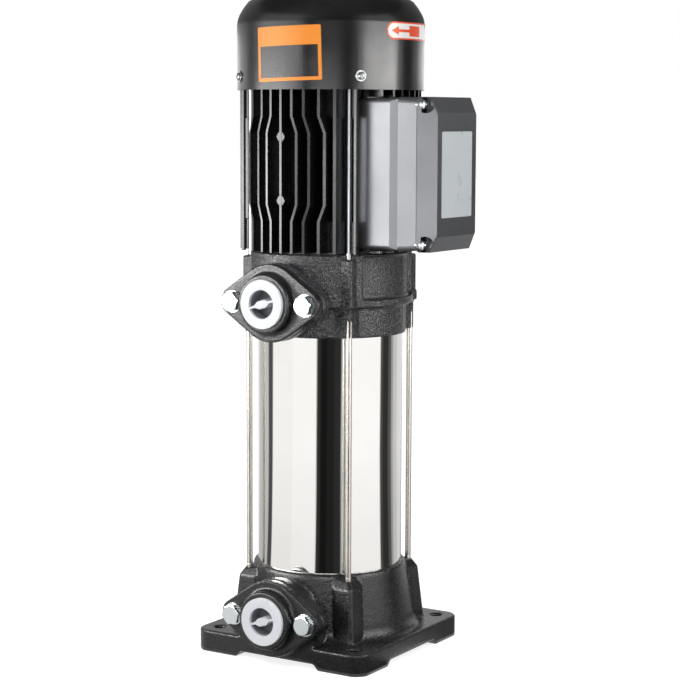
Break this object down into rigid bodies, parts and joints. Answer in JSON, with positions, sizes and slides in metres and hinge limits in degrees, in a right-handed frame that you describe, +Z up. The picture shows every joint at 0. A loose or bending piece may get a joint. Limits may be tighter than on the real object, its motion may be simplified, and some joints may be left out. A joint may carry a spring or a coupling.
{
  "type": "vertical multistage surface pump",
  "caption": "Vertical multistage water pump: cast base and head with flanged ports, polished sleeve held by tie rods, finned motor with fan cover and terminal box.",
  "frame": {"origin": "on the shaft axis, in the plane of the soles of the feet", "axes": "+Z up along the shaft; -Y towards the two port flanges; +X towards the terminal box"},
  "size_m": [0.2177, 0.2034, 0.582],
  "materials": {
    "cast_iron_black": "fine cast surface with satin black paint",
    "cast_iron_rough": "coarse speckled cast surface with black paint",
    "polished_stainless": "mirror polished stainless sheet",
    "stainless_steel": "drawn or pressed stainless steel",
    "zinc_steel": "bright zinc plated steel",
    "white_plastic": "milky white moulded plastic",
    "black_rubber": "black rubber",
    "painted_aluminium": "die cast aluminium with satin black paint",
    "painted_sheet": "pressed sheet with satin black paint",
    "painted_box": "die cast box with satin black paint",
    "black_plastic": "moulded black plastic",
    "bare_steel": "bare ground steel",
    "copper_winding": "varnished copper winding",
    "seal_carbon": "lapped carbon",
    "seal_ceramic": "lapped ceramic"
  },
  "bodies": {
    "pump": {"base_casting": "cast_iron_black", "drain_plug": "zinc_steel", "outer_sleeve": "polished_stainless", "sleeve_o_rings": "black_rubber", "tie_rods": "stainless_steel", "pump_head": "cast_iron_rough", "vent_plug": "zinc_steel", "suction_flange": "cast_iron_black", "discharge_flange": "cast_iron_black", "flange_gaskets": "black_rubber", "flange_bolts": "zinc_steel", "inlet_plate": "stainless_steel", "shaft_bush": "black_rubber", "clamp_ring": "stainless_steel", "seal_seat": "seal_ceramic", "lower_bearing_outer": "bare_steel", "lower_bearing_balls": "bare_steel", "upper_bearing_outer": "bare_steel", "upper_bearing_balls": "bare_steel", "wave_washer": "bare_steel", "motor_frame": "painted_aluminium", "motor_bolts": "zinc_steel", "end_shield": "painted_aluminium", "stator_core": "bare_steel", "stator_windings": "copper_winding", "fan_cover": "painted_sheet", "fan_cover_screws": "zinc_steel", "terminal_box": "painted_box", "terminal_lid": "painted_box", "lid_gasket": "black_rubber", "lid_screws": "zinc_steel", "terminal_block": "white_plastic", "capacitor": "white_plastic", "cable_gland": "black_plastic", "stage_casing_1": "stainless_steel", "stage_casing_2": "stainless_steel", "stage_casing_3": "stainless_steel", "stage_casing_4": "stainless_steel", "stage_casing_5": "stainless_steel", "stage_casing_6": "stainless_steel", "stage_casing_7": "stainless_steel"},
    "rotor": {"shaft": "bare_steel", "shaft_nut": "zinc_steel", "impeller_spacers": "stainless_steel", "seal_ring": "seal_carbon", "seal_spring": "bare_steel", "slinger": "black_rubber", "lower_bearing_inner": "bare_steel", "upper_bearing_inner": "bare_steel", "rotor_core": "bare_steel", "cooling_fan": "black_plastic", "impeller_1": "stainless_steel", "impeller_2": "stainless_steel", "impeller_3": "stainless_steel", "impeller_4": "stainless_steel", "impeller_5": "stainless_steel", "impeller_6": "stainless_steel", "impeller_7": "stainless_steel"},
    "suction_cap": {"suction_cap": "white_plastic"},
    "discharge_cap": {"discharge_cap": "white_plastic"}
  },
  "joints": [
    {"name": "shaft_spin", "type": "hinge", "parent": "pump", "child": "rotor", "pos_m": [0, 0, 0.4], "axis": [0, 0, 1], "continuous": true},
    {"name": "suction_cap_pull", "type": "slide", "parent": "pump", "child": "suction_cap", "axis": [0, -1, 0], "range_m": [0, 0.03]},
    {"name": "discharge_cap_pull", "type": "slide", "parent": "pump", "child": "discharge_cap", "axis": [0, -1, 0], "range_m": [0, 0.03]}
  ]
}
